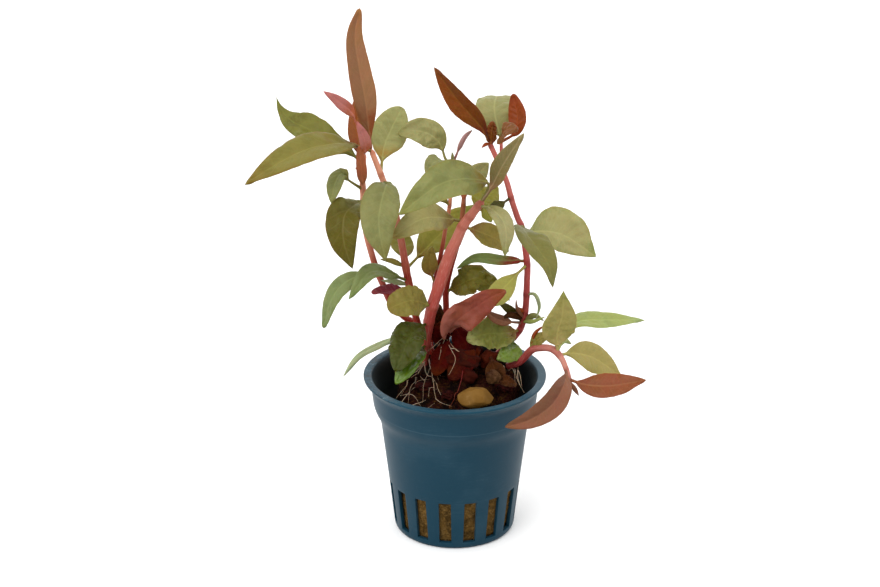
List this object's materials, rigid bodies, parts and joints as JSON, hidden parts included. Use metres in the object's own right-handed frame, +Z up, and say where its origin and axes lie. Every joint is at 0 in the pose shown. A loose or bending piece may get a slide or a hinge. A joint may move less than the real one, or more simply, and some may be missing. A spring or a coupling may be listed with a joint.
{
  "type": "potted aquarium plant",
  "caption": "Young red and olive leaved stem plant on bent pink stems, rooted in stone wool in a slotted net pot that tapers downward.",
  "frame": {"origin": "centre of the pot's flat underside", "axes": "+Z up through the pot towards the leaves, +X to the right and -Y towards the viewer of the picture"},
  "size_m": [0.1075, 0.0524, 0.1487],
  "materials": {
    "pot_blue": "moulded plastic, slate blue, satin, with a lighter rim",
    "wool_brown": "matted brown stone wool fibre, matt, dark where it is wet",
    "pebble_tan": "tan stone, slightly rough",
    "dead_brown": "dry brown leaf, satin",
    "dead_red": "rotting red-brown leaf, wet",
    "stem_pink": "fleshy pink stem, satin",
    "stem_red": "fleshy dark red stem, satin",
    "leaf_olive": "olive leaf, satin, with paler veins",
    "leaf_green": "soft green leaf, satin, with paler veins",
    "leaf_dark": "dark olive brown leaf, satin",
    "leaf_pale": "pale green young leaf, satin",
    "leaf_ochre": "yellow ochre leaf, satin, with paler veins",
    "leaf_rust": "red-brown leaf, satin, redder at its foot",
    "leaf_pink": "pink underside of a leaf, satin",
    "root_pale": "pale thread-like aerial root, satin"
  },
  "bodies": {
    "root": {"pot": "pot_blue", "stone_wool": "wool_brown", "pebble_tan": "pebble_tan", "dead_leaf_curled": "dead_brown", "dead_leaf_red": "dead_red", "dead_leaf_brown": "dead_brown", "stem_left": "stem_red", "stem_left_back": "stem_red", "stem_middle": "stem_pink", "stem_middle_back": "stem_red", "stem_thin": "stem_red", "stem_right": "stem_red", "stem_low": "stem_red", "leaf_left_tall": "leaf_rust", "leaf_left_tall_back": "leaf_rust", "leaf_left_pink": "leaf_pink", "leaf_left_long": "leaf_olive", "leaf_left_hooked": "leaf_olive", "leaf_left_hanging_small": "leaf_green", "leaf_left_hanging_dark": "leaf_dark", "leaf_left_drooping": "leaf_green", "leaf_left_yellow": "leaf_ochre", "leaf_thin_top": "leaf_olive", "leaf_thin_curled": "leaf_green", "leaf_middle_big": "leaf_green", "leaf_middle_upright": "leaf_olive", "leaf_right_red": "leaf_rust", "leaf_right_arched": "leaf_green", "leaf_right_red_small": "leaf_rust", "leaf_right_young": "leaf_rust", "leaf_thin_edge_on": "leaf_pink", "leaf_middle_grey": "leaf_green", "leaf_back_yellow": "leaf_ochre", "leaf_back_dark": "leaf_dark", "leaf_back_olive": "leaf_ochre", "leaf_left_arching": "leaf_green", "leaf_left_low": "leaf_green", "leaf_left_folded": "leaf_pink", "leaf_middle_ochre": "leaf_ochre", "leaf_pot_crumpled": "leaf_dark", "leaf_pot_wet": "leaf_green", "leaf_pale_thin": "leaf_pale", "leaf_front_pink": "leaf_pink", "leaf_back_top": "leaf_olive", "leaf_back_ochre": "leaf_ochre", "leaf_right_small_dark": "leaf_dark", "leaf_middle_hanging": "leaf_green", "leaf_right_drooping": "leaf_green", "leaf_right_broad": "leaf_olive", "leaf_right_twisted": "leaf_green", "leaf_right_yellow": "leaf_ochre", "leaf_middle_crumpled": "leaf_green", "leaf_middle_brown": "leaf_dark", "leaf_low_upright": "leaf_ochre", "leaf_low_pale": "leaf_pale", "leaf_pot_green": "leaf_green", "leaf_pot_bright": "leaf_green", "leaf_low_ochre": "leaf_ochre", "leaf_low_red": "leaf_rust", "leaf_low_over_rim": "leaf_rust"}
  },
  "joints": []
}
